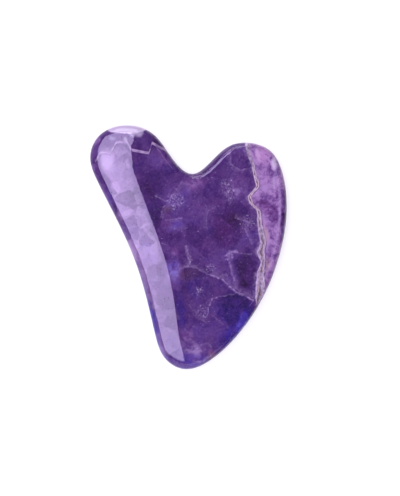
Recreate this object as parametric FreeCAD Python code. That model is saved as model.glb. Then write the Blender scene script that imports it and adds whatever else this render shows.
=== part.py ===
"""Heart-shaped gua sha scraper, ground and polished from one slab of banded amethyst.

The tool is a single stone. What it is made of is five mineral bodies that grew together: the dark
amethyst body, a cream quartz seam down the short lobe, the paler amethyst flank outside that seam, a
thin milky chevron band across the long lobe, and the amethyst cap above that band. Each one is a solid
of its own here, and they meet face to face with no gap, as they do in the stone.

Frame: the stone lies on its flat back, +Z up. The origin is the middle of the bounding box at the
resting face, +X points from the long lobe to the short one, and +Y points from the tip to the notch.
"""

import os

import FreeCAD
import Part

# ---- Driving dimensions, mm ----
THICKNESS = 7.0  # over the two flat faces
EDGE_ROUND = 2.3  # plan width of the rounded edge
SHOULDER_FALL = 0.15  # how fast a broad shoulder falls away, mm per mm past the tight width
TIGHT_SHOULDER = 4.6  # shoulder width where the face runs flat almost to the edge

# The edge's half section as control points. Each lies inboard of the outline by a share of the edge round
# and a share of the slope behind it, and stands up by a share of the edge height and of the fall above it.
SECTION_POLES = [
    (0.0, 0.0, 0.0, 0.0),  # on the equator
    (0.0, 0.0, 0.60, 0.0),  # straight above it, so the two halves meet upright
    (0.40, 0.0, 0.97, 0.0),
    (1.0, 0.25, 1.0, 0.50),  # start of the shoulder's slope
    (1.0, 0.75, 1.0, 1.0),  # level with the flat face, so the slope runs into it smoothly
    (1.0, 1.0, 1.0, 1.0),
]

# Each station is a point on the widest outline, then the point where the flat face begins inboard of it.
# The long side's shoulder is broad, for stroking; the others are tight. Counter-clockwise from the belly.
STATIONS = [
    ((25.9, -9.6), (21.7, -7.8)),  # belly, low
    ((29.9, 4.8), (25.3, 5.4)),  # belly, high
    ((30.4, 16.0), (25.8, 15.7)),  # short lobe, outer side
    ((29.0, 23.6), (24.8, 21.9)),
    ((25.6, 29.7), (22.4, 26.2)),
    ((19.9, 32.2), (19.0, 27.6)),  # short lobe, crown
    ((13.6, 31.8), (15.4, 27.3)),
    ((6.2, 25.8), (9.6, 22.4)),
    ((1.1, 22.7), (1.2, 18.0)),  # bottom of the notch
    ((-3.8, 26.0), (-7.6, 23.2)),
    ((-11.2, 35.3), (-12.9, 30.3)),
    ((-20.1, 37.7), (-15.6, 32.0)),  # long lobe, crown
    ((-28.4, 33.8), (-17.6, 31.0)),
    ((-30.5, 27.4), (-17.2, 27.4)),  # long lobe, outer side
    ((-28.3, 20.5), (-15.2, 21.4)),
    ((-20.0, 3.8), (-9.2, 6.0)),  # long side
    ((-15.3, -8.0), (-5.0, -6.6)),
    ((-10.4, -27.0), (-1.9, -25.0)),
    ((-7.1, -34.8), (-0.8, -30.4)),
    ((-1.2, -37.9), (1.0, -32.2)),  # tip
    ((7.0, -35.0), (5.0, -30.2)),
    ((14.5, -28.2), (11.1, -24.8)),
]

# The cream seam's middle on the upper face, with its width there. It zigzags down the short lobe.
SEAM = [
    (16.9, 36.0, 1.0),
    (17.7, 32.1, 1.0),
    (18.8, 28.0, 1.0),
    (20.0, 24.9, 1.0),
    (20.5, 22.1, 0.9),
    (21.5, 18.7, 1.3),
    (18.8, 15.6, 1.1),
    (19.4, 13.4, 1.1),
    (21.7, 11.2, 1.2),
    (21.9, 7.2, 1.6),
    (23.1, 1.0, 2.0),
    (22.2, -1.8, 2.8),
    (23.1, -4.6, 1.5),
    (22.2, -8.0, 2.4),
    (22.1, -12.5, 3.0),
    (21.4, -16.5, 1.8),
    (22.6, -22.0, 1.4),
]
SEAM_LEAN = 1.6  # how far the seam steps towards +X between the upper face and the lower one

# The chevron band's lower edge on the upper face, from the outer side of the long lobe to the notch side.
CHEVRON = [
    (-34.0, 25.2),
    (-28.6, 26.6),
    (-27.1, 29.2),
    (-24.0, 28.8),
    (-22.2, 32.2),
    (-18.9, 32.0),
    (-17.5, 29.6),
    (-12.2, 28.6),
    (-11.2, 31.8),
    (-6.6, 29.4),
    (-2.0, 29.0),
]
CHEVRON_WIDTH = 0.8
CHEVRON_LEAN = 1.8  # how far the band steps towards -Y between the upper face and the lower one

# ---- Worked out ----
HALF = THICKNESS / 2
FACE_KNOT = 3.0  # where the section's parameter reaches the flat face
CUT_ROOM = 2.0  # how far a cutter runs past the stone above and below
FAR = 60.0  # a distance well outside the stone


def closed_curve(points, knots):
    """A smooth closed curve through points, one per knot, so that every rail shares its knots."""
    curve = Part.BSplineCurve()
    curve.interpolate(Points=points, Parameters=knots, PeriodicFlag=True)
    return curve


def station_knots():
    """Knots spaced by the distance between stations, with one more that closes the loop."""
    outer = [FreeCAD.Vector(*outline, 0) for outline, _ in STATIONS]
    knots = [0.0]
    for here, following in zip(outer, outer[1:] + outer[:1]):
        knots.append(knots[-1] + here.distanceToPoint(following))
    return knots


def section(width):
    """Control points (inset, height) of the edge's half section, from the equator to the flat face."""
    fall = SHOULDER_FALL * max(width - TIGHT_SHOULDER, 0.0)
    edge = HALF - fall
    slope = width - EDGE_ROUND
    return [
        (rounded * EDGE_ROUND + sloped * slope, up * edge + rise * fall)
        for rounded, sloped, up, rise in SECTION_POLES
    ]


def rim_poles(knots):
    """Rows of control points: for each pole along the outline, the poles of the section there."""
    rails = []
    for step in range(len(SECTION_POLES)):
        points = []
        for outline, plateau in STATIONS:
            outer = FreeCAD.Vector(*outline, 0)
            inward = FreeCAD.Vector(*plateau, 0) - outer
            inset, height = section(inward.Length)[step]
            point = outer + inward.normalize() * inset
            points.append(FreeCAD.Vector(point.x, point.y, height))
        rails.append(closed_curve(points, knots))
    rows = [list(row) for row in zip(*[rail.getPoles() for rail in rails])]
    return rows, rails[0]


def rim_surface(rows, outline):
    """The rounded edge's upper half: closed along the outline, smooth from the equator to the face."""
    surface = Part.BSplineSurface()
    surface.buildFromPolesMultsKnots(
        rows,
        outline.getMultiplicities(),
        [4, 1, 1, 4],
        outline.getKnots(),
        [0.0, 1.0, 2.0, FACE_KNOT],
        True,
        False,
        3,
        3,
    )
    return surface


def polished_stone():
    """The whole stone: two rim halves that meet upright at the equator, and the two flat faces."""
    knots = station_knots()
    rows, outline = rim_poles(knots)
    flipped = [[FreeCAD.Vector(p.x, p.y, -p.z) for p in row] for row in rows]
    faces = []
    for half in (rows, flipped):
        rim = rim_surface(half, outline)
        faces.append(rim.toShape())
        faces.append(Part.Face(Part.Wire(rim.vIso(FACE_KNOT).toShape())))
    shell = Part.makeShell(faces)
    shell.sewShape()
    solid = Part.makeSolid(Part.Shell(shell.Faces))
    if solid.Volume < 0:
        solid.reverse()
    return solid


def leaning_prism(outline, lean):
    """A prism through the stone over a closed polygon on the upper face, leaning as it goes down."""
    top, bottom = HALF + CUT_ROOM, -HALF - CUT_ROOM
    drop = top - bottom
    beyond = lean * CUT_ROOM / THICKNESS
    corners = [FreeCAD.Vector(x, y, top) - beyond for x, y in outline]
    face = Part.Face(Part.makePolygon(corners + corners[:1]))
    return face.extrude(lean * (drop / THICKNESS) - FreeCAD.Vector(0, 0, drop))


def beyond_seam_wall(side):
    """The room towards +X of one of the seam's walls: side -1 for its inner wall, 1 for its outer one."""
    wall = [(x + side * width / 2, y) for x, y, width in SEAM]
    outboard = [(FAR, wall[-1][1]), (FAR, wall[0][1])]
    return leaning_prism(wall + outboard, FreeCAD.Vector(SEAM_LEAN, 0, 0))


def beyond_chevron(rise):
    """The room towards +Y of the chevron band's lower edge, once that is moved up by rise."""
    edge = [(x, y + rise) for x, y in CHEVRON]
    outboard = [(edge[-1][0], FAR), (edge[0][0], FAR)]
    return leaning_prism(edge + outboard, FreeCAD.Vector(0, -CHEVRON_LEAN, 0))


def dark_amethyst_body(stone):
    return stone.cut(beyond_seam_wall(-1)).cut(beyond_chevron(0.0))


def cream_quartz_seam(stone):
    return stone.common(beyond_seam_wall(-1)).cut(beyond_seam_wall(1))


def lavender_flank(stone):
    return stone.common(beyond_seam_wall(1))


def chevron_band(stone):
    return stone.common(beyond_chevron(0.0)).cut(beyond_chevron(CHEVRON_WIDTH))


def long_lobe_cap(stone):
    return stone.common(beyond_chevron(CHEVRON_WIDTH))


def main():
    os.makedirs("parts", exist_ok=True)
    stone = polished_stone()
    box = stone.optimalBoundingBox(True, False)
    to_origin = -FreeCAD.Vector(box.Center.x, box.Center.y, box.ZMin)
    for build in (dark_amethyst_body, cream_quartz_seam, lavender_flank, chevron_band, long_lobe_cap):
        body = build(stone)
        body.translate(to_origin)
        body.exportStep(os.path.join("parts", build.__name__ + ".step"))
        print(build.__name__, len(body.Solids), round(body.Volume, 1), body.isValid())
    print("whole stone", round(box.XLength, 2), round(box.YLength, 2), round(box.ZLength, 2))


main()
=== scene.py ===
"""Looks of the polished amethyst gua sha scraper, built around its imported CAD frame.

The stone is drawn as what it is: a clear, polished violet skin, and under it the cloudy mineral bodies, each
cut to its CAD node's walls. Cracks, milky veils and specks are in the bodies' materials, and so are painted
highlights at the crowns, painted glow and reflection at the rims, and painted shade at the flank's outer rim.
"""

import math

import bmesh
import bpy
import numpy as np
from mathutils import Matrix, Vector
from mathutils.bvhtree import BVHTree


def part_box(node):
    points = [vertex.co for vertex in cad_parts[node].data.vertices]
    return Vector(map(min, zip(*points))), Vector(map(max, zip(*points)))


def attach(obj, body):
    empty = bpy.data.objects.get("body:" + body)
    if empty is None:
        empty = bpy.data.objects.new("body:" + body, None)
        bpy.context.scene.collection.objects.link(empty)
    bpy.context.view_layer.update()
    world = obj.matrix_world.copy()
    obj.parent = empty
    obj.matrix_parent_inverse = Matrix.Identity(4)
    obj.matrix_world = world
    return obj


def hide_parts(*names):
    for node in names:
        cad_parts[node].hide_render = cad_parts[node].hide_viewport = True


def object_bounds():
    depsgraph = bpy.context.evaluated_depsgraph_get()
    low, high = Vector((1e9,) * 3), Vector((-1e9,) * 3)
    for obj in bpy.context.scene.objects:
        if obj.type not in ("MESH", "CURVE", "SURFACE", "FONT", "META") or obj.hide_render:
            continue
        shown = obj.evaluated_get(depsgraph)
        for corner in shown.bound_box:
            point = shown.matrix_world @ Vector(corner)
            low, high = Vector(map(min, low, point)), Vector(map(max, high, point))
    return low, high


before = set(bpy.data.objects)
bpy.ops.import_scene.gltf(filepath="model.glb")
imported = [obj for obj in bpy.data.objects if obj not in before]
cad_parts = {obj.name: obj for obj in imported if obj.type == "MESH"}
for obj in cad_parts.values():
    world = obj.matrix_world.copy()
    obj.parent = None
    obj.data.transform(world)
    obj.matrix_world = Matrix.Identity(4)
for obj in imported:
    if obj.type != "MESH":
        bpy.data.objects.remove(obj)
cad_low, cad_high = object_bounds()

MM = 0.001
SIZE = cad_high - cad_low
TOP = cad_high.z
MIDDLE = (cad_low.z + cad_high.z) / 2
HALF = SIZE.z / 2

# The ground edge's section as control points: shares of the edge round and of the slope behind it, then
# shares of the edge height and of the fall above it. The heights themselves are measured on the frame.
EDGE_ROUND = 2.3 * MM
SECTION_POLES = np.array([
    (0.0, 0.0, 0.0, 0.0),
    (0.0, 0.0, 0.60, 0.0),
    (0.40, 0.0, 0.97, 0.0),
    (1.0, 0.25, 1.0, 0.50),
    (1.0, 0.75, 1.0, 1.0),
    (1.0, 1.0, 1.0, 1.0),
])
SECTION_KNOTS = [0, 0, 0, 0, 1, 2, 3, 3, 3, 3]
SECTION_DEGREE = 3
WIDEST_SHOULDER = 0.24 * SIZE.x
SECTION_ROWS = 30
ROW_CROWDING = 1.25  # over 1 gathers the rows towards the equator, where the edge is rounded
FACE_RINGS = (0.25 * MM, 0.8 * MM)  # insets of flat rings inside the face's edge, so that it shades flat
ROWS = SECTION_ROWS + len(FACE_RINGS)
FINE = 4096  # steps of a smooth ring
RING = 512  # vertices round the stone
LEAST_STEP = 0.2  # least step along the face's ring, as a share of the mean one
RING_WAVES = 90  # waves round the stone past which a measured ring is smoothed away
PAIRING_WAVES = 24  # the same, for how the two rings pair up and for the edge's height
STEEP = 0.2  # below this upward share, a face's normal belongs to the edge near the equator
NEARLY_FLAT = 0.9999995  # over this upward share, a face belongs to the flat top
SAME_LEVEL = 1e-6  # m


def at(x_share, y_share):
    """A place on the stone, by its share of the frame's width and length."""
    return np.array([cad_low.x + x_share * SIZE.x, cad_low.y + y_share * SIZE.y])


# ---- The polished skin, measured from the frame ----


def frame_rings():
    """The frame's widest outline, and the outline of its flat face, each as complex points in order."""
    widest, flat = [], []
    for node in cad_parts.values():
        mesh = node.data
        for polygon in mesh.polygons:
            corners = [mesh.vertices[i].co for i in polygon.vertices]
            if polygon.center.z > MIDDLE and polygon.normal.z < STEEP:
                widest += level_sides(corners, MIDDLE)
            elif 0.5 < polygon.normal.z < NEARLY_FLAT:
                flat += level_sides(corners, TOP)
    return chained(widest), chained(flat)


def level_sides(corners, level):
    """The sides of a polygon that lie at a level, each as two complex points."""
    there = [complex(corner.x, corner.y) for corner in corners if abs(corner.z - level) < SAME_LEVEL]
    return [there] if len(there) == 2 else []


def chained(sides):
    """The points of a ring, counter-clockwise, from its sides: each is followed by the one that joins it."""
    left = np.array(sides)
    ring, left = [left[0, 1]], left[1:]
    while len(left):
        gap = np.abs(left - ring[-1])
        joined, end = np.unravel_index(np.argmin(gap), gap.shape)
        ring.append(left[joined, 1 - end])
        left = np.delete(left, joined, axis=0)
    ring = np.array(ring)
    doubled_area = np.sum((np.conj(ring) * np.roll(ring, -1)).imag)
    return ring if doubled_area > 0 else ring[::-1]


def low_pass(values, harmonics):
    """A closed run of values, smoothed so that waves shorter than a lap over harmonics fade out."""
    order = np.fft.fftfreq(len(values), 1 / len(values))
    return np.fft.ifft(np.fft.fft(values) * np.exp(-((order / harmonics) ** 2)))


def smooth_ring(here, harmonics):
    """FINE points, evenly spaced on a smooth closed curve through a ring's points."""
    gap = np.abs(np.roll(here, -1) - here)
    slope = (np.roll(here, -1) - here) / gap
    before, gap_before = np.roll(slope, 1), np.roll(gap, 1)
    tangent = (slope * gap_before + before * gap) / (gap + gap_before)
    run = np.append(0.0, np.cumsum(gap))
    steps = np.arange(FINE) / FINE * run[-1]
    k = np.searchsorted(run, steps, side="right") - 1
    after = (k + 1) % len(here)
    t = (steps - run[k]) / gap[k]
    curve = (
        here[k] * (2 * t**3 - 3 * t**2 + 1)
        + here[after] * (3 * t**2 - 2 * t**3)
        + gap[k] * (tangent[k] * (t**3 - 2 * t**2 + t) + tangent[after] * (t**3 - t**2))
    )
    return low_pass(curve, harmonics)


def section_basis(rows):
    """The edge section's spline basis at each row, from the equator (first) to the flat face (last)."""
    knots = np.array(SECTION_KNOTS, float)
    u = knots[-1] * np.linspace(0, 1, rows) ** ROW_CROWDING
    u[-1] -= 1e-9  # just inside the last span, which is open at its end
    spans = len(knots) - 1
    basis = [((knots[i] <= u) & (u < knots[i + 1])).astype(float) for i in range(spans)]
    for degree in range(1, SECTION_DEGREE + 1):
        grown = []
        for i in range(spans - degree):
            total = np.zeros(rows)
            for low, high, part, sign in ((i, i + degree, i, 1), (i + 1, i + degree + 1, i + 1, -1)):
                span = knots[high] - knots[low]
                if span > 0:
                    share = (u - knots[low]) / span if sign > 0 else (knots[high] - u) / span
                    total += share * basis[part]
            grown.append(total)
        basis = grown
    return np.array(basis).T


def face_ring_for(widest, inward, flat):
    """For each point of the widest ring, the point of the flat face's ring that lies most nearly inboard."""
    reach = np.empty(RING)
    for i in range(RING):
        turned = (flat - widest[i]) * np.conj(inward[i])
        near = (turned.real > 0) & (turned.real < WIDEST_SHOULDER)
        reach[i] = np.argmin(np.where(near, np.abs(turned.imag) + 0.01 * turned.real, 1.0)) / FINE
    even = np.arange(RING) / RING
    drift = np.unwrap((reach - even) * 2 * math.pi) / (2 * math.pi)
    onward = np.maximum.accumulate(np.tile(drift, 2) + np.arange(2 * RING) / RING)[RING:] - 1.0
    smooth = low_pass(onward - even, PAIRING_WAVES).real + even
    step = np.maximum(np.diff(np.append(smooth, smooth[0] + 1.0)), LEAST_STEP / RING)
    smooth = smooth[0] + np.append(0.0, np.cumsum(step / step.sum())[:-1])
    return np.interp(smooth % 1.0 * FINE, np.arange(FINE + 1), np.append(flat, flat[0]))


def surface_tree(nodes):
    """A tree for casting rays at the surface of some CAD nodes."""
    corners, faces = [], []
    for node in nodes:
        first = len(corners)
        corners += [v.co.copy() for v in node.data.vertices]
        faces += [[first + i for i in polygon.vertices] for polygon in node.data.polygons]
    return BVHTree.FromPolygons(corners, faces)


def height_at(tree, place):
    """How high a surface stands over a place, above the stone's middle plane."""
    hit = tree.ray_cast(Vector((place.real, place.imag, TOP + MM)), Vector((0, 0, -1)))[0]
    return hit.z - MIDDLE


def skin_rows():
    """Rows of the skin's upper half, equator first: complex plan places, and heights above the middle."""
    widest_fine, flat = [smooth_ring(ring, RING_WAVES) for ring in frame_rings()]
    widest = widest_fine[:: FINE // RING]
    along = np.roll(widest_fine, -1) - np.roll(widest_fine, 1)
    inward = (1j * along / np.abs(along))[:: FINE // RING]
    landed = face_ring_for(widest, inward, flat)
    width = np.abs(landed - widest)
    heading = (landed - widest) / width
    poles = section_basis(SECTION_ROWS) @ SECTION_POLES
    inset = poles[:, 0, None] * EDGE_ROUND + poles[:, 1, None] * (width - EDGE_ROUND)
    tree = surface_tree(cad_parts.values())
    edge = np.empty(RING)
    for i in range(RING):
        up, rise = [np.interp(EDGE_ROUND, inset[:, i], poles[:, k]) for k in (2, 3)]
        measured = height_at(tree, widest[i] + heading[i] * EDGE_ROUND)
        edge[i] = (measured - rise * HALF) / (up - rise)
    edge = low_pass(edge, PAIRING_WAVES).real
    plan = widest + inset * heading
    height = poles[:, 2, None] * edge + poles[:, 3, None] * (HALF - edge)
    inner = [plan[-1] + heading * inset for inset in FACE_RINGS]
    return np.vstack([plan, inner]), np.vstack([height, np.full((len(FACE_RINGS), RING), HALF)])


def mesh_of(name, corners, faces):
    mesh = bpy.data.meshes.new(name)
    mesh.from_pydata(corners, [], faces)
    mesh.update()
    return mesh


def skin_mesh():
    """The closed skin: the upper rows, the same rows mirrored below, and the two flat faces."""
    plan, height = skin_rows()
    corners = [(p.real, p.imag, MIDDLE + h) for p, h in zip(plan.ravel(), height.ravel())]
    corners += [(p.real, p.imag, MIDDLE - h) for p, h in zip(plan[1:].ravel(), height[1:].ravel())]

    def corner(row, i):
        """Rows above the middle count up from 1, rows below it count down from -1."""
        below = RING * (ROWS - 1) if row < 0 else 0
        return abs(row) * RING + below + i % RING

    faces = []
    for row in range(ROWS - 1):
        for i in range(RING):
            faces.append([corner(row, i), corner(row, i + 1), corner(row + 1, i + 1), corner(row + 1, i)])
            faces.append([corner(-row, i + 1), corner(-row, i), corner(-row - 1, i), corner(-row - 1, i + 1)])
    last = ROWS - 1
    faces.append([corner(last, i) for i in range(RING)])
    faces.append([corner(-last, i) for i in reversed(range(RING))])
    return mesh_of("polished_skin", corners, faces)


def piece(name, mesh):
    """A shown piece of the stone, smooth-shaded, riding on the stone's one body."""
    made = bpy.data.objects.new(name, mesh)
    bpy.context.scene.collection.objects.link(made)
    mesh.shade_smooth()
    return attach(made, "root")


skin = piece("polished_skin", skin_mesh())


# ---- The mineral bodies under the skin ----


UPRIGHT = 0.999999  # a normal whose upward share, squared, is over this belongs to a flat face
JOIN_WITHIN = 1e-7  # m
CREASE = math.radians(40)


def sunk(mesh, face_depth, rim_depth):
    """A copy of a smooth closed mesh, sunk by one depth under its flat faces and another at its rim."""
    copy = mesh.copy()
    for vertex, original in zip(copy.vertices, mesh.vertices):
        upright = original.normal.z ** 2
        vertex.co -= original.normal * (rim_depth + (face_depth - rim_depth) * upright)
        if upright > UPRIGHT:
            vertex.co.z = MIDDLE + math.copysign(HALF - face_depth, original.normal.z)
    copy.update()
    return copy


def closed_copy(node):
    """A CAD node's mesh with its split corners joined, so that it's closed."""
    form = bmesh.new()
    form.from_mesh(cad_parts[node].data)
    bmesh.ops.remove_doubles(form, verts=form.verts, dist=JOIN_WITHIN)
    mesh = bpy.data.meshes.new(node + "_cutter")
    form.to_mesh(mesh)
    form.free()
    return mesh


def mineral_body(name, node, face_depth, rim_depth):
    """What lies within a CAD node's walls and under the skin by the given depths."""
    cutter = bpy.data.objects.new(node + "_cutter", closed_copy(node))
    body = bpy.data.objects.new(name, sunk(skin.data, face_depth, rim_depth))
    for made in (cutter, body):
        bpy.context.scene.collection.objects.link(made)
    cut = body.modifiers.new("within_walls", "BOOLEAN")
    cut.operation = "INTERSECT"
    cut.solver = "MANIFOLD"
    cut.object = cutter
    depsgraph = bpy.context.evaluated_depsgraph_get()
    mesh = bpy.data.meshes.new_from_object(body.evaluated_get(depsgraph))
    for made in (cutter, body):
        bpy.data.objects.remove(made)
    made = piece(name, mesh)
    mesh.set_sharp_from_angle(angle=CREASE)
    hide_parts(node)
    return made


# Each body: its name, the CAD node whose walls it lies within, and its depths under face and rim.
BODIES = [
    ("amethyst_core", "dark_amethyst_body", 0.7 * MM, 0.35 * MM),
    ("quartz_seam", "cream_quartz_seam", 0.12 * MM, 0.12 * MM),
    ("amethyst_flank", "lavender_flank", 0.4 * MM, 0.3 * MM),
    ("chevron_quartz", "chevron_band", 0.15 * MM, 0.3 * MM),
    ("lobe_cap", "long_lobe_cap", 0.7 * MM, 0.9 * MM),
]
bodies = {}
for name, node, face_depth, rim_depth in BODIES:
    bodies[name] = mineral_body(name, node, face_depth, rim_depth)


# ---- Node materials ----


class Pattern:
    """A material's nodes. Each call adds nodes and gives back an output; inputs take numbers or outputs."""

    def __init__(self, name):
        self.material = bpy.data.materials.new(name)
        self.material.use_nodes = True
        self.tree = self.material.node_tree
        self.tree.nodes.clear()
        self.end = self.tree.nodes.new("ShaderNodeOutputMaterial")
        place = self.tree.nodes.new("ShaderNodeTexCoord").outputs["Object"]
        self.place = self.add("VectorMath", "Vector", {0: place, "Scale": 1 / MM}, operation="SCALE")

    def add(self, kind, output, values, **settings):
        made = self.tree.nodes.new("ShaderNode" + kind)
        for name, value in settings.items():
            setattr(made, name, value)
        for name, value in values.items():
            if isinstance(value, bpy.types.NodeSocket):
                self.tree.links.new(value, made.inputs[name])
            else:
                made.inputs[name].default_value = value
        return made.outputs[output]

    def math(self, operation, *values):
        return self.add("Math", 0, dict(enumerate(values)), operation=operation)

    def fade(self, value, low, high, to_low=0.0, to_high=1.0):
        """value from low to high, eased into to_low to to_high."""
        values = {"Value": value, 1: low, 2: high, 3: to_low, 4: to_high}
        return self.add("MapRange", 0, values, interpolation_type="SMOOTHSTEP")

    def noise(self, scale, detail, roughness=0.55, distortion=0.0, where=None, output=0):
        """Noise with scale features a millimetre."""
        values = {"Vector": where or self.place, "Scale": scale, "Detail": detail}
        values.update({"Roughness": roughness, "Distortion": distortion})
        return self.add("TexNoise", output, values)

    def cells(self, scale, where=None, output="Distance"):
        values = {"Vector": where or self.place, "Scale": scale}
        return self.add("TexVoronoi", output, values, feature="F1")

    def facets(self, scale, where):
        """A shade from 0 to 1 for each of the cells that the stone falls into."""
        return self.add("SeparateColor", "Green", {0: self.cells(scale, where, "Color")})

    def warp(self, amount, scale, detail):
        """The place, pushed about by up to amount millimetres."""
        push = self.noise(scale, detail, output=1)
        centred = self.add("VectorMath", "Vector", {0: push, 1: (0.5, 0.5, 0.5)}, operation="SUBTRACT")
        scaled = self.add("VectorMath", "Vector", {0: centred, "Scale": 2 * amount}, operation="SCALE")
        return self.add("VectorMath", "Vector", {0: self.place, 1: scaled}, operation="ADD")

    def stir(self, value, noise, strength, middle=0.5):
        """A value, moved up where a noise is over its middle and down where it's under."""
        return self.math("MULTIPLY_ADD", self.math("SUBTRACT", noise, middle), strength, value)

    def mix(self, share, a, b, blend="MIX"):
        values = {0: share, 6: a, 7: b}
        return self.add("Mix", 2, values, data_type="RGBA", blend_type=blend, clamp_factor=True)

    def tint(self, share, colour, tint):
        """A colour, of which a share is multiplied by a tint."""
        return self.mix(share, colour, self.mix(1.0, colour, (*tint, 1.0), "MULTIPLY"))

    def ramp(self, value, stops):
        made = self.tree.nodes.new("ShaderNodeValToRGB")
        self.tree.links.new(value, made.inputs[0])
        stops_made = made.color_ramp.elements
        while len(stops_made) < len(stops):
            stops_made.new(0.5)
        for stop, (position, colour) in zip(stops_made, stops):
            stop.position = position
            stop.color = (*colour, 1.0)
        return made.outputs[0]

    def ridge(self, value, wide):
        """1 where a noise passes through its middle, fading to 0 on both sides: a web of fine threads."""
        return self.fade(self.math("ABSOLUTE", self.math("SUBTRACT", value, 0.5)), wide, 0.0)

    def measured(self, where, start, way):
        """How far a place is from start along way, a direction in x + iy, and how far to the left of it."""
        gone = self.add("VectorMath", "Vector", {0: where, 1: (*start, 0.0)}, operation="SUBTRACT")
        axes = ((way.real, way.imag, 0.0), (-way.imag, way.real, 0.0))
        return [self.add("VectorMath", "Value", {0: gone, 1: axis}, operation="DOT_PRODUCT") for axis in axes]

    def spot(self, x_share, y_share, wide, tall, turn, soft, where=None):
        """1 in the middle of an oval zone of the stone, fading to 0 at its edge. wide and tall in mm."""
        turned = complex(math.cos(math.radians(turn)), math.sin(math.radians(turn)))
        along, across = self.measured(where or self.place, at(x_share, y_share) / MM, turned)
        across = self.math("DIVIDE", across, tall)
        along = self.math("DIVIDE", along, wide)
        squared = self.math("MULTIPLY_ADD", along, along, self.math("MULTIPLY", across, across))
        return self.fade(self.math("SQRT", squared), 1.0, 1.0 - soft)

    def line_graph(self, value, points):
        """The height at value of straight lines through points (across, up), both from 0 to 1."""
        made = self.tree.nodes.new("ShaderNodeFloatCurve")
        self.tree.links.new(value, made.inputs["Value"])
        line = made.mapping.curves[0].points
        while len(line) < len(points):
            line.new(0.5, 0.5)
        for corner, point in zip(line, sorted(points)):
            corner.location = point
            corner.handle_type = "VECTOR"
        made.mapping.update()
        return made.outputs[0]

    def course(self, places, where):
        """Along a course through places on the stone: the share of its run, and the mm to its left."""
        points = np.array([complex(*at(*place)) for place in places]) / MM
        chord = points[-1] - points[0]
        runs = (points - points[0]) / chord
        along, across = self.measured(where, (points[0].real, points[0].imag), chord / abs(chord) ** 2)
        bend = self.line_graph(along, [(run.real, 0.5 + run.imag / 2) for run in runs])
        left = self.math("SUBTRACT", self.math("MULTIPLY_ADD", across, 0.5, 0.5), bend)
        return along, self.math("MULTIPLY", left, 2 * abs(chord))

    def vein(self, places, wide, veil, where, gap):
        """A vein along a course, and the veil that hangs from it.

        The veil reaches veil mm to the left of the course, or to the right if it's less than 0. gap narrows
        the vein by so many millimetres, place by place.
        """
        along, left = self.course(places, where)
        from_middle = self.math("ABSOLUTE", self.math("SUBTRACT", along, 0.5))
        within = self.fade(from_middle, 0.53, 0.44)  # ends just past the course's own ends
        off = self.math("ADD", self.math("ABSOLUTE", left), gap)
        line = self.math("MULTIPLY", self.fade(off, wide, 0.1 * wide), within)
        if not veil:
            return line, None
        hanging = self.math("MULTIPLY", self.fade(left, veil, 0.0), self.fade(left, -0.2 * veil, 0.1 * veil))
        return line, self.math("MULTIPLY", hanging, within)

    def mineral(self, colour):
        """The material of a mineral under the skin: rough, with no gloss, since the skin has the polish."""
        values = {"Base Color": colour, "Roughness": 0.5, "Specular IOR Level": 0.0}
        return self.finish(self.add("BsdfPrincipled", 0, values))

    def finish(self, surface, volume=None):
        self.tree.links.new(surface, self.end.inputs["Surface"])
        if volume is not None:
            self.tree.links.new(volume, self.end.inputs["Volume"])
        return self.material


DEEP = (0.022, 0.007, 0.046)
VIOLET = (0.072, 0.026, 0.138)
LILAC = (0.175, 0.098, 0.245)
MILK = (0.460, 0.385, 0.470)
# Pearly white: for the bright specks, and for the painted highlights at the crowns.
PEARL_WHITE_AND_HIGHLIGHT = (0.90, 1.0, 0.82)
BLUE_TINT = (0.54, 0.77, 1.55)
PINK_TINT = (1.45, 0.92, 0.95)
SMOKY_TINT = (1.12, 1.22, 0.72)
CREAM = (0.68, 0.54, 0.43)
WHITE_QUARTZ = (0.70, 0.62, 0.67)
GREY_LILAC = (0.19, 0.155, 0.215)
PLUM = (0.10, 0.05, 0.10)
BROWN_PLUM = (0.14, 0.08, 0.12)
SLATE = (0.08, 0.06, 0.09)

# The flank's own shades, from dark to light.
FLANK_DEEP = (0.035, 0.012, 0.065)
FLANK_VIOLET = (0.105, 0.045, 0.150)
FLANK_LILAC = (0.195, 0.108, 0.275)
FLANK_MILK = (0.490, 0.360, 0.520)

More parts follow.
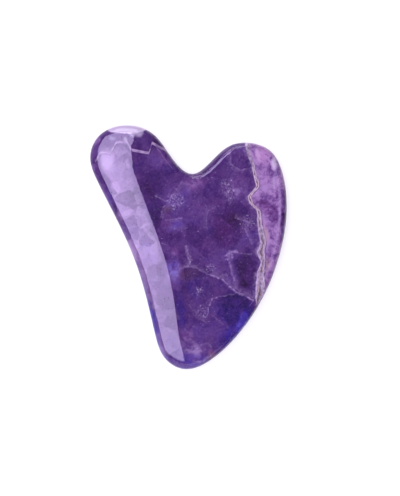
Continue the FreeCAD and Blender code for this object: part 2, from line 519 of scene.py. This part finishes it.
# Zones of the amethyst: place by share of the stone, half sizes in mm, turn, how soft the edge is, how much
# lighter it is, and how much bluer (more than 0) or pinker (less than 0).
ZONES = [
    (0.70, 0.57, 6.6, 7.0, 0, 0.5, -0.14, -0.5),  # magenta cell beside the seam
    (0.79, 0.40, 4.2, 6.4, 10, 0.4, -0.24, -0.2),  # dark cell under it
    (0.73, 0.25, 7.0, 6.0, -30, 0.4, -0.22, 0.50),  # dark blue cell towards the tip
    (0.53, 0.345, 6.6, 4.4, -12, 0.4, -0.06, 0.15),  # smoky cell under the arch
    (0.32, 0.77, 5.5, 8.0, 25, 0.7, -0.12, -0.1),  # dark side of the long lobe
    (0.33, 0.64, 3.0, 4.5, 10, 0.8, -0.12, 0.1),
    (0.40, 0.90, 3.5, 3.5, 0, 0.6, -0.15, 0.0),  # under the crown of the long lobe
    (0.74, 0.73, 7.5, 6.0, 20, 0.9, 0.22, 0.1),  # speckled haze by the seam
    (0.43, 0.70, 5.0, 5.5, -20, 0.9, 0.12, 0.1),  # wispy cloud
    (0.43, 0.58, 5.0, 2.5, 0, 0.9, 0.08, 0.3),
    (0.60, 0.66, 8.0, 5.0, 0, 0.9, 0.05, -0.2),
    (0.52, 0.76, 5.0, 4.0, 0, 0.9, 0.26, -0.1),  # haze under the notch
    (0.775, 0.205, 2.3, 5.2, -35, 0.7, 0.30, 0.5),  # bright blue at the lower edge, painted glow
    (0.33, 0.86, 3.0, 4.5, 30, 0.8, 0.10, 0.2),  # violet glow on the notch side of the long lobe
    (0.015, 0.87, 1.6, 6.5, 8, 0.8, 0.14, 0.0),  # pale outer rim of the long lobe, as is the next zone: painted reflection
    (0.045, 0.945, 1.2, 6.5, -38, 0.7, 0.36, 0.0),
    (0.70, 0.47, 4.0, 3.0, 0, 0.9, 0.10, 0.1),
    (0.54, 0.08, 4.5, 3.0, -15, 0.9, 0.26, -0.2),  # clouds in the tip
    (0.50, 0.14, 3.0, 2.4, -40, 0.6, 0.14, -0.2),
    (0.61, 0.07, 1.6, 2.4, 0, 0.7, 0.10, -0.5),
    (0.31, 0.46, 3.4, 8.0, 17, 0.9, 0.16, 0.4),  # the hazy side, bluer in the middle and darker at its end
    (0.42, 0.10, 3.0, 4.0, 10, 0.9, -0.16, 0.6),
    (0.46, 0.24, 2.4, 9.0, 10, 0.8, 0.0, 0.7),  # deep blue right of the hazy side
    (0.36, 0.08, 2.2, 8.0, 25, 0.7, 0.05, 0.8),  # blue rim round the tip, painted glow
    (0.42, 0.42, 3.4, 7.5, 15, 0.9, 0.30, 0.45),
    (0.60, 0.51, 3.4, 4.6, 0, 0.9, 0.14, -0.1),
    (0.50, 0.00, 14.0, 9.0, 0, 0.9, 0.0, 0.55),  # blue tip
    (0.74, 0.16, 9.0, 6.0, 40, 0.8, 0.0, 0.9),  # deep blue lower edge, painted glow
    (0.10, 0.50, 8.0, 22.0, 25, 0.9, 0.03, 0.6),  # bluish long side
    (0.10, 0.68, 2.4, 7.0, 27, 0.6, 0.12, 0.1),  # bright violet rim, painted glow
    (0.27, 0.28, 3.0, 22.0, 17, 0.6, 0.07, 1.1),  # blue rim of the long side, painted glow
    (0.43, 0.48, 1.8, 2.4, 0, 0.8, 0.12, -0.2),  # violet glow beside the blue
]

# Veins and the veils that hang from them: places on the stone, width in mm, how bright it is, how far the
# veil reaches to the left of the course in mm (to the right if less than 0), and how bright that is.
VEINS = [
    ([(0.60, 0.39), (0.67, 0.37), (0.71, 0.34), (0.74, 0.32), (0.79, 0.30), (0.84, 0.28)],
     0.38, 0.95, 3.0, 0.34),
    ([(0.70, 0.345), (0.74, 0.32), (0.78, 0.305)], 0.9, 0.55, 0.0, 0.0),
    ([(0.74, 0.31), (0.67, 0.30), (0.62, 0.29), (0.60, 0.25),
      (0.60, 0.23), (0.63, 0.22), (0.67, 0.19), (0.69, 0.18)],
     0.32, 0.7, -2.0, 0.16),
    ([(0.44, 0.40), (0.48, 0.42), (0.53, 0.42), (0.60, 0.39)], 0.8, 0.28, 2.5, 0.18),
    ([(0.485, 0.51), (0.495, 0.47), (0.505, 0.43)], 0.8, 0.40, 1.6, 0.25),
    ([(0.69, 0.465), (0.71, 0.48), (0.75, 0.485)], 1.0, 0.7, -1.5, 0.20),
    ([(0.74, 0.48), (0.78, 0.475), (0.84, 0.47)], 0.4, 0.35, -1.5, 0.10),
    ([(0.70, 0.47), (0.71, 0.42), (0.73, 0.37), (0.74, 0.33)], 0.7, 0.38, 2.4, 0.20),
    ([(0.47, 0.77), (0.41, 0.70), (0.37, 0.66), (0.36, 0.62)], 0.32, 0.55, 2.4, 0.20),
    ([(0.33, 0.71), (0.41, 0.68)], 0.35, 0.5, 1.5, 0.15),
    ([(0.38, 0.61), (0.47, 0.62)], 0.30, 0.5, -1.5, 0.15),
    ([(0.41, 0.58), (0.45, 0.57), (0.50, 0.58)], 0.30, 0.45, 1.5, 0.15),
    ([(0.35, 0.52), (0.39, 0.51)], 0.28, 0.5, 0.0, 0.0),
    ([(0.71, 0.90), (0.715, 0.84), (0.76, 0.815), (0.80, 0.82)], 0.6, 0.30, -2.4, 0.18),
    ([(0.73, 0.62), (0.77, 0.61), (0.82, 0.60)], 0.40, 0.45, 2.5, 0.20),
    ([(0.78, 0.58), (0.81, 0.53), (0.82, 0.51)], 0.35, 0.45, 1.5, 0.2),
    ([(0.66, 0.67), (0.60, 0.65), (0.59, 0.61), (0.60, 0.56)], 0.35, 0.30, -3.0, 0.12),
    ([(0.54, 0.34), (0.58, 0.30)], 0.25, 0.8, 0.0, 0.0),
    ([(0.485, 0.085), (0.52, 0.075), (0.57, 0.08)], 0.8, 0.50, -1.5, 0.20),
    ([(0.50, 0.13), (0.55, 0.10), (0.60, 0.11), (0.62, 0.09)], 0.6, 0.30, -1.5, 0.15),
    ([(0.52, 0.03), (0.57, 0.035), (0.62, 0.06)], 0.6, 0.35, 1.5, 0.15),
    ([(0.50, 0.27), (0.53, 0.22), (0.60, 0.19)], 0.40, 0.22, 2.5, 0.12),
    ([(0.25, 0.57), (0.27, 0.59), (0.31, 0.60)], 0.45, 0.30, -3.5, 0.20),
    ([(0.23, 0.50), (0.25, 0.53), (0.25, 0.57)], 0.45, 0.25, -3.0, 0.15),
    ([(0.14, 0.86), (0.17, 0.91), (0.21, 0.93), (0.22, 0.87)], 0.5, 0.25, -2.5, 0.18),
]

# Clusters of bright specks and fine threads: place, half sizes in mm, turn.
SPARKLES = [
    (0.44, 0.69, 4.2, 4.6, -20),
    (0.70, 0.73, 3.6, 6.5, 10),
    (0.62, 0.42, 2.6, 2.0, 30),
    (0.69, 0.38, 1.6, 1.4, 0),
    (0.70, 0.46, 2.8, 1.6, 10),
    (0.50, 0.45, 1.3, 2.6, 5),
    (0.56, 0.32, 2.2, 2.4, -30),
    (0.58, 0.24, 3.0, 3.0, 0),
    (0.52, 0.09, 3.5, 2.0, 0),
    (0.80, 0.60, 3.5, 4.5, 0),
]

# The hazy long side, as a course down it, along the band where the left lamp's reflection falls.
LONG_SIDE = [(0.11, 0.93), (0.13, 0.84), (0.215, 0.65), (0.30, 0.45), (0.37, 0.28), (0.42, 0.08)]

# Painted highlights at the crown of the long lobe, laid on as pearly white zones: place, half sizes in mm,
# turn, softness, how milky, that is how strong the painted highlight is.
PAINTED_CROWN_HIGHLIGHTS = [
    (0.188, 1.0, 9.2, 2.9, 0, 0.12, 1.0),
    (0.220, 0.972, 1.7, 2.1, 0, 0.6, 0.60),
    (0.250, 0.972, 1.8, 2.2, 0, 0.6, 0.55),
    (0.180, 0.935, 0.8, 1.5, 0, 0.5, 0.35),
    (0.115, 0.945, 1.6, 0.9, 0, 0.7, 0.20),
    (0.090, 0.845, 3.2, 4.2, 25, 0.9, 0.22),
]

# Smoky zones, a little browner than the rest: place, half sizes in mm, turn, softness.
SMOKY = [
    (0.51, 0.39, 5.2, 3.4, -10, 0.7),
    (0.62, 0.06, 2.0, 2.6, 0, 0.7),
    (0.40, 0.66, 2.5, 2.0, 0, 0.8),
]


def zoned(pattern, tone, zones, bent):
    """A tone and a hue, each shifted zone by zone."""
    uneven = pattern.fade(pattern.noise(0.45, 6.0, 0.7), 0.36, 0.64, 0.55, 1.45)
    hue = 0.0
    for x_share, y_share, wide, tall, turn, soft, lighter, bluer in zones:
        zone = pattern.math("MULTIPLY", pattern.spot(x_share, y_share, wide, tall, turn, soft, bent), uneven)
        tone = pattern.math("MULTIPLY_ADD", zone, lighter, tone)
        if bluer:
            hue = pattern.math("MULTIPLY_ADD", zone, bluer, hue)
    return tone, hue


def tinted(pattern, colour, hue):
    """A colour turned bluer where hue is over 0, and pinker where it's under."""
    for tint, share in ((BLUE_TINT, hue), (PINK_TINT, pattern.math("MULTIPLY", hue, -1.0))):
        colour = pattern.tint(share, colour, tint)
    return colour


def smoked(pattern, colour, zones, where):
    """A colour turned browner in some zones."""
    for place in zones:
        colour = pattern.tint(pattern.spot(*place, where), colour, SMOKY_TINT)
    return colour


def pearly_milk_and_painted_highlights(pattern, colour, zones, where, share=1.0):
    """A colour with pearly zones on it, in a share of their strength: painted highlights, and on the flank
    also a milky patch and streak.
    """
    for *place, milky in zones:
        pearly = pattern.math("MULTIPLY", pattern.spot(*place, where), milky)
        pearly = pattern.math("MULTIPLY", pearly, share)
        colour = pattern.mix(pearly, colour, (*PEARL_WHITE_AND_HIGHLIGHT, 1.0))
    return colour


def haze_and_painted_band_highlight(pattern, grain, bent, ragged):
    """How milky the amethyst is down its long side, where a haze lies in facets under the band of the left
    lamp's reflection; lightest at the top, it is partly painted highlight.
    """
    along, left = pattern.course(LONG_SIDE, bent)
    facets = pattern.facets(0.17, bent)
    small = pattern.facets(0.42, ragged)
    patchy = pattern.math("MULTIPLY_ADD", facets, 1.8, pattern.math("MULTIPLY_ADD", small, 0.8, -0.80))
    patchy = pattern.stir(patchy, grain, 1.8)
    patchy = pattern.math("MULTIPLY_ADD", left, -0.12, patchy)
    flecks = pattern.fade(pattern.cells(1.2), 0.20, 0.10)
    flecks = pattern.math("MULTIPLY", flecks, pattern.fade(pattern.noise(0.35, 2.0), 0.46, 0.56))
    patchy = pattern.math("MAXIMUM", pattern.math("MULTIPLY_ADD", flecks, -0.8, patchy), 0.0)
    haze = pattern.math("MULTIPLY", patchy, pattern.fade(pattern.math("ABSOLUTE", left), 4.4, 3.2))
    haze = pattern.math("MULTIPLY", haze, pattern.fade(along, 0.0, 1.0, 0.72, 0.22))
    return pattern.math("MULTIPLY", haze, pattern.fade(along, 0.0, 0.06))


def amethyst(name):
    """The amethyst body: cells, haze, veins with their veils, fine threads and bright specks, with painted
    highlights at the long lobe's crown and down its long side, and painted glow and reflection at the rim.
    """
    pattern = Pattern(name)
    bent = pattern.warp(2.0, 0.14, 4.0)
    ragged = pattern.warp(0.5, 1.2, 6.0)
    clouds = pattern.noise(0.10, 6.0, 0.62, 0.4)
    tone = pattern.math("MULTIPLY_ADD", clouds, 0.70, 0.06)
    tone, hue = zoned(pattern, tone, ZONES, bent)
    hue = pattern.stir(hue, pattern.noise(0.11, 4.0, 0.6, 0.8), 1.5, 0.55)
    facets = pattern.facets(0.13, bent)
    tone = pattern.stir(tone, facets, 0.16)
    lively = 0.10
    for place in SPARKLES:
        lively = pattern.math("MAXIMUM", lively, pattern.spot(*place, 0.8, bent))
    streaks = pattern.noise(0.42, 6.0, 0.66, 1.2, bent)
    grain = pattern.noise(1.1, 6.0, 0.78, 0.6)
    tone = pattern.stir(tone, streaks, 0.42)
    mottle = pattern.fade(lively, 0.1, 0.9, 0.22, 1.3)
    tone = pattern.stir(tone, grain, mottle)
    colour = pattern.ramp(tone, [(0.05, DEEP), (0.36, VIOLET), (0.62, LILAC), (0.95, MILK)])
    colour = tinted(pattern, colour, hue)
    colour = smoked(pattern, colour, SMOKY, bent)

    dusty = pattern.math("MULTIPLY", pattern.fade(grain, 0.50, 0.78), lively)
    threads = pattern.ridge(streaks, 0.014)
    fine = pattern.math("MULTIPLY", pattern.ridge(pattern.noise(0.9, 6.0, 0.62, 1.5), 0.04), lively)
    milk = pattern.math("MULTIPLY", threads, 0.14)
    milk = pattern.math("MAXIMUM", milk, pattern.math("MULTIPLY", dusty, 0.9))
    milk = pattern.math("MAXIMUM", milk, pattern.math("MULTIPLY", fine, 0.55))
    gap = pattern.fade(pattern.noise(1.3, 5.0, 0.7), 0.42, 0.68, 0.0, 0.45)
    torn = pattern.fade(grain, 0.34, 0.62, 0.25, 1.3)
    for places, wide, bright, veil, veil_bright in VEINS:
        line, hanging = pattern.vein(places, wide, veil, ragged, gap)
        line = pattern.math("MULTIPLY", line, bright)
        if hanging:
            line = pattern.math("MULTIPLY_ADD", hanging, veil_bright, line)
        milk = pattern.math("MAXIMUM", milk, pattern.math("MULTIPLY", line, torn))
    # The haze down the long side, partly painted highlight under the left lamp's reflection.
    milk = pattern.math("ADD", milk, haze_and_painted_band_highlight(pattern, grain, bent, ragged))
    speck = pattern.fade(pattern.cells(1.1), 0.30, 0.12)
    rare = pattern.fade(pattern.noise(0.8, 2.0), 0.46, 0.56)
    small = pattern.fade(pattern.cells(2.1), 0.26, 0.10)
    small = pattern.math("MULTIPLY", small, pattern.fade(lively, 0.3, 0.8))
    shown = pattern.fade(lively, 0.0, 0.5, 0.0, 0.75)
    specks = pattern.math("MULTIPLY", pattern.math("MULTIPLY", speck, rare), shown)
    specks = pattern.math("MAXIMUM", specks, pattern.math("MULTIPLY", small, 0.8))
    milk = pattern.math("MAXIMUM", milk, beside_seam(pattern, ragged))
    colour = pattern.mix(pattern.math("MINIMUM", milk, 1.0), colour, (*MILK, 1.0))
    colour = pattern.mix(specks, colour, (*PEARL_WHITE_AND_HIGHLIGHT, 1.0))
    # Painted highlights at the crown of the long lobe, kept to the upper half of its edge, the side the top
    # light falls on.
    height = pattern.add("SeparateXYZ", "Z", {0: ragged})
    upper = pattern.fade(height, (MIDDLE - 0.2 * HALF) / MM, MIDDLE / MM)
    colour = pearly_milk_and_painted_highlights(pattern, colour, PAINTED_CROWN_HIGHLIGHTS, ragged, upper)
    return pattern.mineral(colour)


SEAM_ROWS = 72  # places along the seam where its walls are measured
WIDEST_HALF_SEAM = 4.0 * MM  # more than half of the seam's greatest width


def seam_walls():
    """The seam in its middle plane: rows of (y, inner wall's x, outer wall's x), and its lean in x per z."""
    tree = surface_tree([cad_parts["cream_quartz_seam"]])
    low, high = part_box("cream_quartz_seam")

    def walls(y, z):
        inner = tree.ray_cast(Vector((cad_low.x - MM, y, z)), Vector((1, 0, 0)))[0]
        if inner is None:
            return None
        outer = tree.ray_cast(Vector((cad_high.x + MM, y, z)), Vector((-1, 0, 0)))[0]
        return inner.x, outer.x

    rows = []
    for y in np.linspace(low[1] + MM, high[1] - MM, SEAM_ROWS):
        found = walls(y, MIDDLE)
        if found:
            rows.append((y, *found))
    y = (low[1] + high[1]) / 2
    lean = (walls(y, MIDDLE + MM)[0] - walls(y, MIDDLE - MM)[0]) / (2 * MM)
    return rows, lean


def across_seam(pattern, where):
    """How many mm a place is from the seam's middle, half the seam's width there, and its share along it."""
    rows, lean = seam_walls()
    first, last = rows[0][0], rows[-1][0]
    middle, half = [], []
    for row_y, inner, outer in rows:
        run = (row_y - first) / (last - first)
        middle.append((run, ((inner + outer) / 2 - cad_low.x) / SIZE.x))
        half.append((run, (outer - inner) / 2 / WIDEST_HALF_SEAM))
    x, y, z = [pattern.add("SeparateXYZ", output, {0: where}) for output in "XYZ"]
    along = pattern.math("DIVIDE", pattern.math("SUBTRACT", y, first / MM), (last - first) / MM)
    centre = pattern.math("MULTIPLY_ADD", pattern.line_graph(along, middle), SIZE.x / MM, cad_low.x / MM)
    drift = pattern.math("MULTIPLY", pattern.math("SUBTRACT", z, MIDDLE / MM), lean)
    off = pattern.math("SUBTRACT", pattern.math("SUBTRACT", x, centre), drift)
    return off, pattern.math("MULTIPLY", pattern.line_graph(along, half), WIDEST_HALF_SEAM / MM), along


def beside_seam(pattern, where):
    """How milky the amethyst is beside the seam, where the seam's quartz bleeds into it in tufts."""
    off, half, along = across_seam(pattern, where)
    beyond = pattern.math("SUBTRACT", pattern.math("ABSOLUTE", off), half)
    tufts = pattern.fade(pattern.noise(0.55, 6.0, 0.7), 0.44, 0.64, 0.12, 0.95)
    return pattern.math("MULTIPLY", pattern.fade(beyond, 1.5, -0.3), tufts)


def cream_quartz(name):
    """The seam: cream growth lines along its walls, with plum between them above and grey quartz below."""
    pattern = Pattern(name)
    off, half, along = across_seam(pattern, pattern.warp(0.6, 1.1, 6.0))
    across = pattern.math("DIVIDE", off, half)
    grain = pattern.noise(0.9, 5.0, 0.65)
    coarse = pattern.math("SUBTRACT", pattern.noise(0.6, 6.0, 0.7), 0.5)
    away = pattern.math("MULTIPLY_ADD", coarse, 1.1, pattern.math("ABSOLUTE", across))
    narrow = pattern.ramp(away, [
        (0.0, PLUM),
        (0.16, BROWN_PLUM),
        (0.30, CREAM),
        (0.58, WHITE_QUARTZ),
        (0.84, CREAM),
        (1.0, LILAC),
    ])
    wide = pattern.ramp(away, [
        (0.0, GREY_LILAC),
        (0.14, SLATE),
        (0.28, CREAM),
        (0.42, GREY_LILAC),
        (0.68, WHITE_QUARTZ),
        (1.0, LILAC),
    ])
    low_down = pattern.fade(along, 0.60, 0.48)
    colour = pattern.mix(low_down, narrow, wide)
    patchy = pattern.fade(pattern.noise(0.30, 3.0), 0.44, 0.62, 0.0, 0.6)
    patchy = pattern.math("MAXIMUM", patchy, pattern.fade(along, 0.78, 0.90, 0.0, 0.9))
    pale = pattern.mix(pattern.fade(grain, 0.35, 0.65), (*GREY_LILAC, 1.0), (*WHITE_QUARTZ, 1.0))
    colour = pattern.mix(patchy, colour, pale)
    return pattern.mineral(colour)


# Zones of the flank, as for the amethyst.
FLANK_ZONES = [
    (0.93, 0.84, 0.9, 2.8, 5, 0.4, 0.40, 0.0),  # milky patch
    (0.94, 0.76, 0.9, 3.6, 5, 0.7, 0.12, 0.0),
    (0.87, 0.88, 3.6, 5.0, 15, 0.9, 0.24, -0.2),  # pink crown, lighter as a painted highlight
    (0.94, 0.79, 1.6, 4.0, 10, 0.8, 0.0, 0.1),
    # Painted highlight along the top of the short lobe's crown.
    (0.87, 0.945, 4.4, 1.5, -20, 0.8, 0.40, -0.1),
    (0.80, 0.90, 1.8, 5.0, 15, 0.7, 0.55, 0.0),  # pale veil along the seam
    (0.80, 0.77, 1.0, 3.5, 5, 0.7, 0.16, 0.0),
    (0.90, 0.74, 3.0, 2.0, -30, 0.8, 0.10, 0.1),  # haze over the magenta patch
    (0.885, 0.665, 3.8, 2.6, -28, 0.35, -0.24, -0.2),  # magenta patch
    (0.93, 0.63, 1.8, 3.6, 0, 0.6, -0.20, -0.1),
    (0.88, 0.60, 1.8, 2.2, 0, 0.8, 0.05, -0.1),
    (0.89, 0.54, 1.8, 3.4, 0, 0.8, 0.22, 0.1),  # tan patch by the seam
    (0.92, 0.44, 2.4, 6.0, -10, 0.9, 0.08, 0.0),
    (0.90, 0.35, 2.0, 5.0, -20, 0.9, -0.04, -0.2),
    (1.00, 0.58, 2.4, 16.0, 0, 0.4, -0.42, 0.0),  # dark outer rim, painted shade
]

# Pearly zones of the flank, as for the long lobe: a milky patch and streak, and painted highlights at the
# crown of the short lobe.
FLANK_MILK_AND_PAINTED_HIGHLIGHTS = [
    (0.932, 0.842, 1.0, 2.8, 5, 0.7, 0.50),
    (0.875, 0.930, 3.8, 1.3, -25, 0.8, 0.35),
    (0.850, 0.880, 1.0, 3.5, 15, 0.8, 0.22),
    (0.930, 0.760, 0.8, 3.0, 5, 0.8, 0.15),
]

# Tan zones of the flank beside the seam: place, half sizes in mm, turn, softness.
FLANK_TAN = [
    (0.885, 0.55, 2.0, 3.8, 0, 0.7),
    (0.895, 0.43, 1.8, 3.6, -5, 0.8),
]


def flank_amethyst(name):
    """The paler amethyst outside the seam: pink and lilac clouds, a milky patch, dark specks, painted
    highlights at the short lobe's crown and painted shade at its outer rim.
    """
    pattern = Pattern(name)
    bent = pattern.warp(1.7, 0.35, 6.0)
    tone = pattern.math("MULTIPLY_ADD", pattern.noise(0.22, 6.0, 0.62, 0.8, bent), 1.4, 0.15)
    tone = pattern.stir(tone, pattern.noise(1.0, 6.0, 0.75, 0.6), 1.0)
    tone, hue = zoned(pattern, tone, FLANK_ZONES, bent)
    shades = [(0.12, FLANK_DEEP), (0.42, FLANK_VIOLET), (0.68, FLANK_LILAC), (1.0, FLANK_MILK)]
    colour = pattern.ramp(tone, shades)
    colour = tinted(pattern, colour, pattern.math("SUBTRACT", hue, 0.12))
    colour = smoked(pattern, colour, FLANK_TAN, bent)
    ragged = pattern.warp(0.5, 1.2, 6.0)
    # A milky patch and streak, and painted highlights at the short lobe's crown.
    colour = pearly_milk_and_painted_highlights(pattern, colour, FLANK_MILK_AND_PAINTED_HIGHLIGHTS, ragged)
    speck = pattern.fade(pattern.cells(1.4), 0.22, 0.08)
    rare = pattern.fade(pattern.noise(0.5, 2.0), 0.54, 0.64)
    specks = pattern.math("MULTIPLY", speck, rare)
    colour = pattern.mix(pattern.math("MULTIPLY", specks, 0.7), colour, (*DEEP, 1.0))
    colour = pattern.mix(beside_seam(pattern, ragged), colour, (*MILK, 1.0))
    return pattern.mineral(colour)


def milky_quartz(name):
    """The chevron band: milk-white quartz that thins out to lilac in places."""
    pattern = Pattern(name)
    milky = pattern.fade(pattern.noise(0.7, 6.0, 0.7), 0.36, 0.64)
    outer_end = pattern.spot(0.0, 0.84, 2.6, 4.0, 0, 0.5)
    colour = pattern.mix(milky, (*LILAC, 1.0), (*MILK, 1.0))
    colour = pattern.mix(outer_end, colour, (*VIOLET, 1.0))
    return pattern.mineral(colour)


QUARTZ_IOR = 1.54
SKIN_TINT = (0.93, 0.90, 0.98, 1.0)
SHADOW_TINT = (0.95, 0.92, 0.98, 1.0)
SKIN_DEPTH_COLOUR = (0.45, 0.10, 0.72, 1.0)
SKIN_DENSITY = 330.0  # per m


def clear_skin(name):
    """Polished, slightly violet quartz: clear, with a few fine pits and a faint polishing ripple.

    Shadow rays and diffuse rays pass straight through it, so that the minerals under it are lit.
    """
    pattern = Pattern(name)
    pits = pattern.fade(pattern.cells(0.9), 0.15, 0.03)
    few = pattern.fade(pattern.noise(0.25, 3.0), 0.48, 0.60)
    pitted = pattern.math("MULTIPLY", pits, few)
    ripple = pattern.noise(0.12, 2.0)
    raised = pattern.math("MULTIPLY", ripple, 0.1)
    height = pattern.math("SUBTRACT", raised, pattern.math("MULTIPLY", pitted, 0.35))
    bump = pattern.add("Bump", 0, {"Strength": 0.4, "Distance": 0.1 * MM, "Height": height})
    values = {"Base Color": SKIN_TINT, "Roughness": 0.03, "IOR": QUARTZ_IOR, "Transmission Weight": 1.0}
    glass = pattern.add("BsdfPrincipled", 0, {**values, "Normal": bump})
    open_way = pattern.add("BsdfTransparent", 0, {"Color": SHADOW_TINT})
    shadow = pattern.add("LightPath", "Is Shadow Ray", {})
    diffuse = pattern.add("LightPath", "Is Diffuse Ray", {})
    straight = pattern.math("MAXIMUM", shadow, diffuse)
    surface = pattern.add("MixShader", 0, {0: straight, 1: glass, 2: open_way})
    depth = {"Color": SKIN_DEPTH_COLOUR, "Density": SKIN_DENSITY}
    return pattern.finish(surface, pattern.add("VolumeAbsorption", 0, depth))


def paint(made, material):
    made.data.materials.clear()
    made.data.materials.append(material)


paint(skin, clear_skin("clear_skin"))
paint(bodies["amethyst_core"], amethyst("amethyst"))
paint(bodies["lobe_cap"], bodies["amethyst_core"].data.materials[0])
paint(bodies["quartz_seam"], cream_quartz("cream_quartz"))
paint(bodies["amethyst_flank"], flank_amethyst("flank_amethyst"))
paint(bodies["chevron_quartz"], milky_quartz("milky_quartz"))

# ---- Studio ----

CENTRE = (cad_low + cad_high) / 2
FLOOR_SIZE = 6.0  # m
FLOOR_GAP = 0.02 * MM  # between the stone's underside and the floor
LAMP_DISTANCE = 0.6  # m
CAMERA_DISTANCE = 0.62  # m
STONE_SHARE = 0.4921  # of the picture's height that the stone takes up
PICTURE_ASIDE = 0.0584  # how far the picture's middle is right of the stone's, in widths of the stone
PICTURE_BELOW = 0.2 * MM  # how far it is below the stone's middle


def floor():
    """A wide pale floor that the stone lies on."""
    bpy.ops.mesh.primitive_grid_add(
        x_subdivisions=4,
        y_subdivisions=4,
        size=FLOOR_SIZE,
        location=(0, 0, cad_low.z - FLOOR_GAP),
    )
    made = bpy.context.object
    made.name = "floor"
    pattern = Pattern("pale_floor")
    tone = pattern.ramp(pattern.noise(0.02, 3.0), [(0.3, (0.40, 0.40, 0.41)), (0.7, (0.43, 0.43, 0.43))])
    away = pattern.add("VectorMath", "Value", {0: pattern.place}, operation="LENGTH")
    glow = pattern.fade(away, 60.0, 700.0, 0.74, 1.0)
    glowing = {"Emission Color": (1.0, 1.0, 1.0, 1.0), "Emission Strength": glow}
    paper = pattern.add("BsdfPrincipled", 0, {"Base Color": tone, "Roughness": 0.9, **glowing})
    paint(made, pattern.finish(paper))


def softbox(name, lean_x, lean_y, wide, tall, brightness, colour, fading):
    """A soft light over the stone: leaning from overhead by degrees towards +X and +Y, sides in degrees.

    fading is the share of its height over which it dims towards the -Y side, or 0 if it's even.
    """
    x, y = math.tan(math.radians(lean_x)), math.tan(math.radians(lean_y))
    towards = Vector((x, y, 1.0)).normalized()
    data = bpy.data.lights.new(name, "AREA")
    data.shape = "RECTANGLE"
    data.size = 2 * LAMP_DISTANCE * math.tan(math.radians(wide / 2))
    data.size_y = 2 * LAMP_DISTANCE * math.tan(math.radians(tall / 2))
    data.energy = brightness * math.pi * data.size * data.size_y
    data.color = colour
    if fading:
        dim_one_side(data, fading)
    lamp = bpy.data.objects.new(name, data)
    bpy.context.scene.collection.objects.link(lamp)
    lamp.location = CENTRE + towards * LAMP_DISTANCE
    across = Vector((0, 1, 0)).cross(towards).normalized()
    lamp.rotation_mode = "QUATERNION"
    lamp.rotation_quaternion = Matrix((across, towards.cross(across), towards)).transposed().to_quaternion()
    lamp.visible_camera = False


def dim_one_side(light, fading):
    """Dim a lamp over a share of its height, down to nothing at its -Y side."""
    light.use_nodes = True
    tree = light.node_tree
    emission = tree.nodes["Emission"]
    kinds = ("NewGeometry", "SeparateXYZ", "MapRange")
    place, split, fade = [tree.nodes.new("ShaderNode" + kind) for kind in kinds]
    tree.links.new(place.outputs["Parametric"], split.inputs[0])
    tree.links.new(split.outputs["Y"], fade.inputs["Value"])
    fade.inputs["From Max"].default_value = fading
    tree.links.new(fade.outputs[0], emission.inputs["Strength"])


def camera():
    """A camera straight above the stone. The picture is taller than wide, so its height fills the sensor."""
    data = bpy.data.cameras.new("camera")
    made = bpy.data.objects.new("camera", data)
    bpy.context.scene.collection.objects.link(made)
    picture_height = SIZE.y / STONE_SHARE
    data.sensor_width = 36.0
    data.lens = data.sensor_width * CAMERA_DISTANCE / picture_height
    data.clip_end = 20.0
    aside = PICTURE_ASIDE * SIZE.x
    made.location = (CENTRE.x + aside, CENTRE.y - PICTURE_BELOW, MIDDLE + CAMERA_DISTANCE)
    bpy.context.scene.camera = made


def surroundings():
    """A pale studio: white to the camera, and to the stone dark overhead and bright towards the horizon."""
    world = bpy.data.worlds.new("studio")
    bpy.context.scene.world = world
    world.use_nodes = True
    tree = world.node_tree
    tree.nodes.clear()

    def link(output, socket):
        tree.links.new(output, socket)

    def new(kind):
        return tree.nodes.new("ShaderNode" + kind)

    end = new("OutputWorld")
    seen = new("Background")
    lit = new("Background")
    either = new("MixShader")
    ray = new("LightPath")
    way = new("TexCoord")
    split = new("SeparateXYZ")
    rise = new("MapRange")
    shades = new("ValToRGB")
    side = new("MapRange")
    seen.inputs["Color"].default_value = (1.0, 1.0, 1.0, 1.0)
    link(way.outputs["Generated"], split.inputs[0])
    link(split.outputs["Z"], rise.inputs["Value"])
    link(rise.outputs[0], shades.inputs[0])
    for stop, (position, grey) in zip(shades.color_ramp.elements, ((0.15, 0.85), (0.6, 0.22))):
        stop.position = position
        stop.color = (grey, grey * 0.98, grey * 1.04, 1.0)
    link(shades.outputs[0], lit.inputs["Color"])
    link(split.outputs["X"], side.inputs["Value"])
    for name, value in (("From Min", -0.9), ("From Max", 0.9), ("To Min", 1.3), ("To Max", 0.35)):
        side.inputs[name].default_value = value
    link(side.outputs[0], lit.inputs["Strength"])
    link(ray.outputs["Is Camera Ray"], either.inputs[0])
    link(lit.outputs[0], either.inputs[1])
    link(seen.outputs[0], either.inputs[2])
    link(either.outputs[0], end.inputs[0])


# Each lamp: name, leans, sides, brightness, colour, and the share of its height that dims.
LAMPS = [
    ("left_strip", -18.8, 2.0, 25.0, 45.0, 7.5, (0.76, 0.64, 1.0), 0.12),
    ("front_fill", 0.0, -52.0, 60.0, 44.0, 1.3, (0.80, 0.70, 1.0), 0.0),
    ("right_strip", 18.0, 5.0, 17.0, 26.0, 1.6, (0.90, 0.78, 1.0), 0.0),
    ("top_box", -14.0, 48.0, 24.0, 34.0, 2.8, (1.0, 0.95, 1.0), 0.0),
]

floor()
surroundings()
for lamp in LAMPS:
    softbox(*lamp)
camera()
scene = bpy.context.scene
scene.view_settings.view_transform = "Standard"
scene.cycles.use_denoising = True
scene.cycles.transparent_max_bounces = 24
